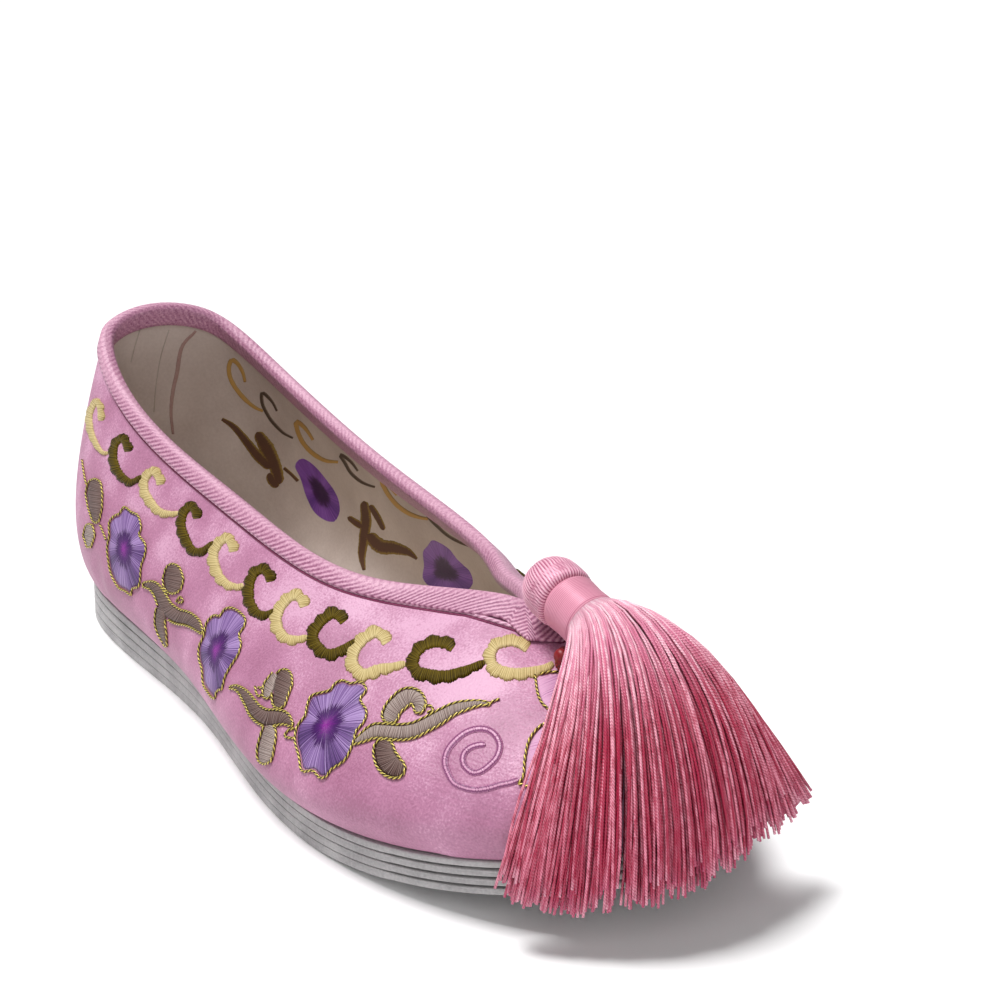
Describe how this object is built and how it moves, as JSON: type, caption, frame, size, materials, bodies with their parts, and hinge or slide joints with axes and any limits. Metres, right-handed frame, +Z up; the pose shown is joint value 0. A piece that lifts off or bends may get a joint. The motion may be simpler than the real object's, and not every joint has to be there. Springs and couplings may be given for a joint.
{
  "type": "embroidered wedding shoe",
  "caption": "Low cloth wedding slipper with a layered sole, bound open collar, embroidered satin upper and a tassel lying over the toe.",
  "frame": {"origin": "middle of the sole's length on its flat underside", "axes": "+Z up from the floor, +Y towards the heel, -Y towards the toe, -X towards the outer side of the foot"},
  "size_m": [0.095, 0.2561, 0.0816],
  "materials": {
    "sole_cloth": "matt woven cotton",
    "insole_cloth": "matt brushed cotton",
    "satin": "soft sheen satin",
    "binding_tape": "ribbed twill tape",
    "tassel_silk": "glossy twisted silk cord",
    "red_cord": "glossy knotted cord"
  },
  "bodies": {
    "root": {"sole_layer_1": "sole_cloth", "sole_layer_2": "sole_cloth", "sole_layer_3": "sole_cloth", "sole_layer_4": "sole_cloth", "insole": "insole_cloth", "upper": "satin", "collar_binding": "binding_tape", "tassel_head": "tassel_silk", "tassel_band": "tassel_silk", "tassel_skirt": "tassel_silk", "tassel_tie": "red_cord"}
  },
  "joints": []
}
